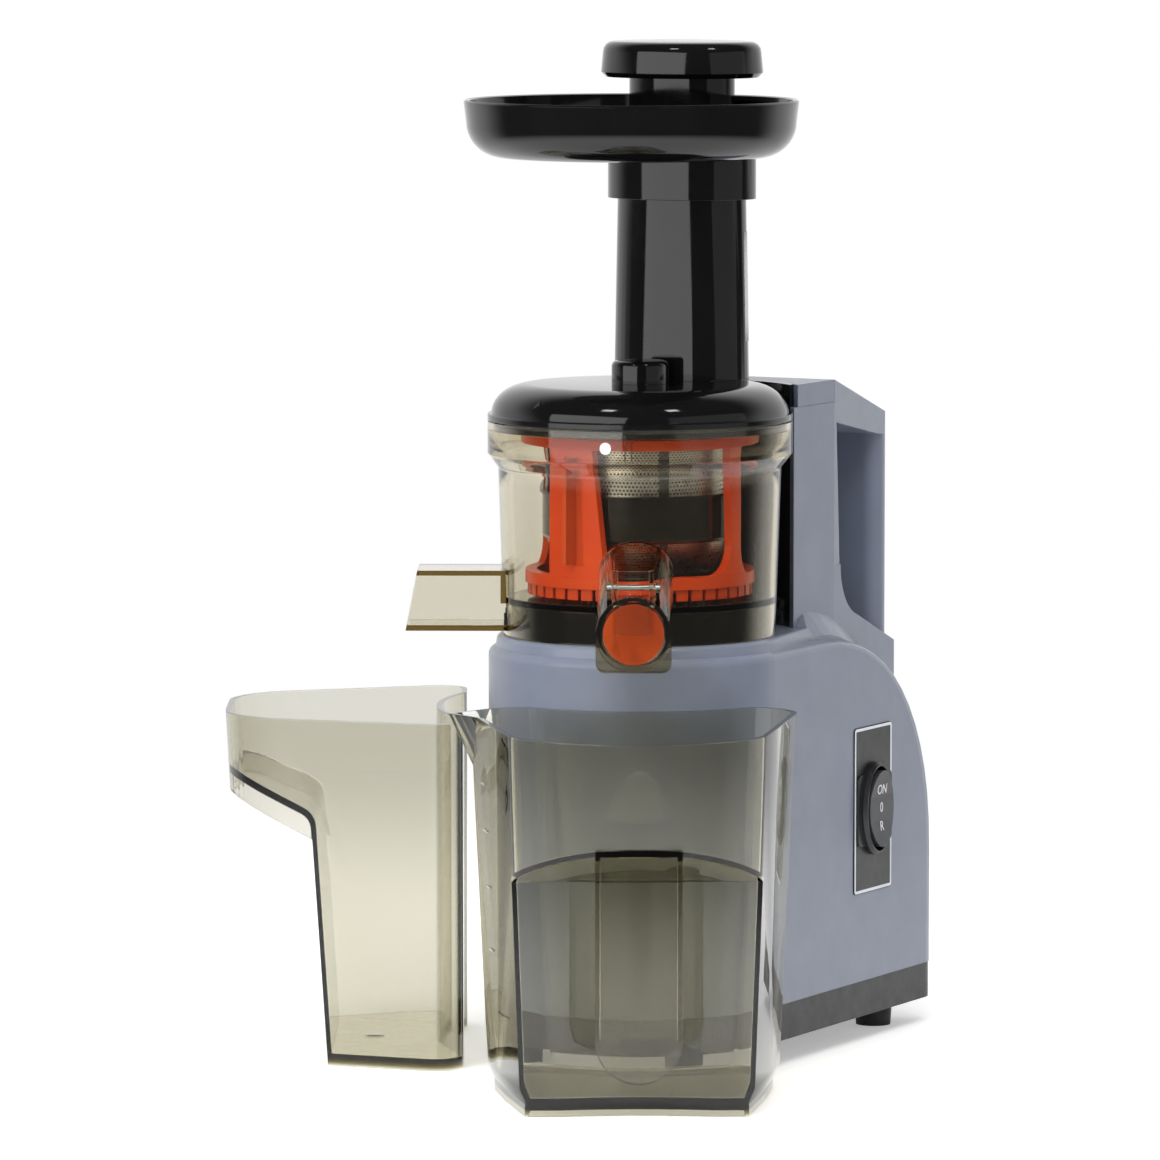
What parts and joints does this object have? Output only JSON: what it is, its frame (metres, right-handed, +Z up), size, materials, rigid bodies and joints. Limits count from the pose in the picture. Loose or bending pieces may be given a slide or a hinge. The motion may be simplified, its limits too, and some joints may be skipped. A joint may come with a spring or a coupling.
{
  "type": "cold press juicer",
  "caption": "Vertical slow juicer: geared base with handle column, clear bowl with brush, strainer and auger, lid with feed tube and tray, jug and pulp container.",
  "frame": {"origin": "on the floor plane, on the drive axis of the bowl", "axes": "+Z up along the drive axis, -Y to the front of the base, +X to the switch side"},
  "size_m": [0.3017, 0.3385, 0.428],
  "materials": {
    "housing_grey": "satin blue-grey lacquered plastic",
    "gloss_black": "polished black plastic",
    "satin_black": "fine satin black plastic",
    "plate_black": "matt dark grey plastic",
    "rocker_grey": "satin dark grey plastic",
    "foot_rubber": "matt black rubber",
    "seal_silicone": "grey silicone",
    "orange_silicone": "orange silicone",
    "orange_plastic": "polished orange plastic",
    "smoke_clear": "smoky clear plastic",
    "strainer_smoke": "dark translucent plastic",
    "auger_dark": "dark engineering plastic",
    "mesh_steel": "perforated stainless sheet",
    "screw_steel": "bright zinc and ground steel",
    "lamination_steel": "stacked electrical steel",
    "winding_copper": "enamelled copper wire",
    "motor_aluminium": "die cast aluminium",
    "bush_bronze": "sintered bronze",
    "gear_nylon": "natural nylon"
  },
  "bodies": {
    "base": {"housing": "housing_grey", "column_cap": "housing_grey", "column_panel": "gloss_black", "bowl_seat": "gloss_black", "bottom_cover": "satin_black", "feet": "foot_rubber", "bottom_screws": "screw_steel", "switch_plate": "plate_black", "switch_bezel": "plate_black", "switch_body": "plate_black", "cord_grommet": "foot_rubber", "run_capacitor": "motor_aluminium", "motor_stator": "lamination_steel", "motor_windings": "winding_copper", "motor_end_upper": "motor_aluminium", "motor_end_lower": "motor_aluminium", "motor_bushes": "bush_bronze", "motor_bolts": "screw_steel", "gearbox_case": "motor_aluminium", "gearbox_lid": "motor_aluminium", "gearbox_screws": "screw_steel", "compound_axle": "screw_steel", "output_bushes": "bush_bronze", "shaft_seal": "foot_rubber"},
    "rocker": {"rocker": "rocker_grey"},
    "output": {"output_shaft": "screw_steel", "output_gear": "gear_nylon"},
    "compound": {"compound_gear": "gear_nylon"},
    "rotor": {"rotor_core": "lamination_steel", "rotor_shaft": "screw_steel", "motor_pinion": "screw_steel", "cooling_fan": "rocker_grey"},
    "bowl": {"bowl": "smoke_clear", "hub_seal": "seal_silicone", "pulp_plug": "foot_rubber", "idler_pin": "screw_steel", "cap_pin": "screw_steel"},
    "idler": {"idler_gear": "gear_nylon"},
    "juice_cap": {"juice_cap": "smoke_clear", "juice_cap_seal": "orange_silicone"},
    "strainer": {"strainer_frame": "strainer_smoke", "strainer_mesh_upper": "mesh_steel", "strainer_mesh_lower": "mesh_steel"},
    "brush": {"brush_frame": "orange_plastic", "brush_blades": "orange_silicone"},
    "auger": {"auger_screw": "auger_dark", "auger_spindle": "auger_dark", "auger_gear": "auger_dark"},
    "lid_ring": {"lid_seal": "seal_silicone"},
    "lid": {"lid": "gloss_black"},
    "tray": {"feed_tray": "gloss_black"},
    "pusher": {"pusher_stem": "gloss_black", "pusher_cap": "gloss_black"},
    "jug": {"juice_jug": "smoke_clear"},
    "pulp_container": {"pulp_container": "smoke_clear"}
  },
  "joints": [
    {"name": "rocker_tilt", "type": "hinge", "parent": "base", "child": "rocker", "pos_m": [0.0606, 0.0929, 0.1], "axis": [0, 1, 0], "range_deg": [-8, 8]},
    {"name": "drive_spin", "type": "hinge", "parent": "base", "child": "output", "pos_m": [0, 0, 0.15], "axis": [0, 0, 1], "continuous": true},
    {"name": "compound_spin", "type": "hinge", "parent": "base", "child": "compound", "pos_m": [0, 0.04063, 0.14], "axis": [0, 0, 1], "continuous": true},
    {"name": "rotor_spin", "type": "hinge", "parent": "base", "child": "rotor", "pos_m": [0, 0.07662, 0.08], "axis": [0, 0, 1], "continuous": true},
    {"name": "bowl_lift", "type": "slide", "parent": "base", "child": "bowl", "axis": [0, 0, 1], "range_m": [0, 0.05]},
    {"name": "idler_spin", "type": "hinge", "parent": "bowl", "child": "idler", "pos_m": [0, 0.032, 0.2], "axis": [0, 0, 1], "continuous": true},
    {"name": "juice_cap_swing", "type": "hinge", "parent": "bowl", "child": "juice_cap", "pos_m": [0.04261, -0.08736, 0.2095], "axis": [-0.8988, -0.4384, 0], "range_deg": [0, 85]},
    {"name": "lid_lift", "type": "slide", "parent": "bowl", "child": "lid_ring", "axis": [0, 0, 1], "range_m": [0, 0.06]},
    {"name": "lid_turn", "type": "hinge", "parent": "lid_ring", "child": "lid", "pos_m": [0, 0, 0.28], "axis": [0, 0, 1], "range_deg": [0, 40]},
    {"name": "strainer_lift", "type": "slide", "parent": "bowl", "child": "strainer", "axis": [0, 0, 1], "range_m": [0, 0.03]},
    {"name": "brush_spin", "type": "hinge", "parent": "strainer", "child": "brush", "pos_m": [0, 0, 0.23], "axis": [0, 0, 1], "continuous": true},
    {"name": "auger_spin", "type": "hinge", "parent": "strainer", "child": "auger", "pos_m": [0, 0, 0.23], "axis": [0, 0, 1], "continuous": true},
    {"name": "tray_lift", "type": "slide", "parent": "lid", "child": "tray", "axis": [0, 0, 1], "range_m": [0, 0.02]},
    {"name": "pusher_lift", "type": "slide", "parent": "tray", "child": "pusher", "axis": [0, 0, 1], "range_m": [0, 0.15]},
    {"name": "jug_slide", "type": "slide", "parent": "base", "child": "jug", "axis": [0.4802, -0.8771, 0], "range_m": [0, 0.12]},
    {"name": "pulp_slide", "type": "slide", "parent": "base", "child": "pulp_container", "axis": [-0.8829, -0.4695, 0], "range_m": [0, 0.12]}
  ],
  "couplings": [
    {"joint": "compound_spin", "follows": "drive_spin", "ratio": -4},
    {"joint": "rotor_spin", "follows": "drive_spin", "ratio": 20},
    {"joint": "idler_spin", "follows": "drive_spin", "ratio": -1.6667},
    {"joint": "auger_spin", "follows": "drive_spin", "ratio": 1},
    {"joint": "brush_spin", "follows": "drive_spin", "ratio": -0.45454},
    {"joint": "strainer_lift", "follows": "lid_lift", "ratio": 0.5}
  ]
}
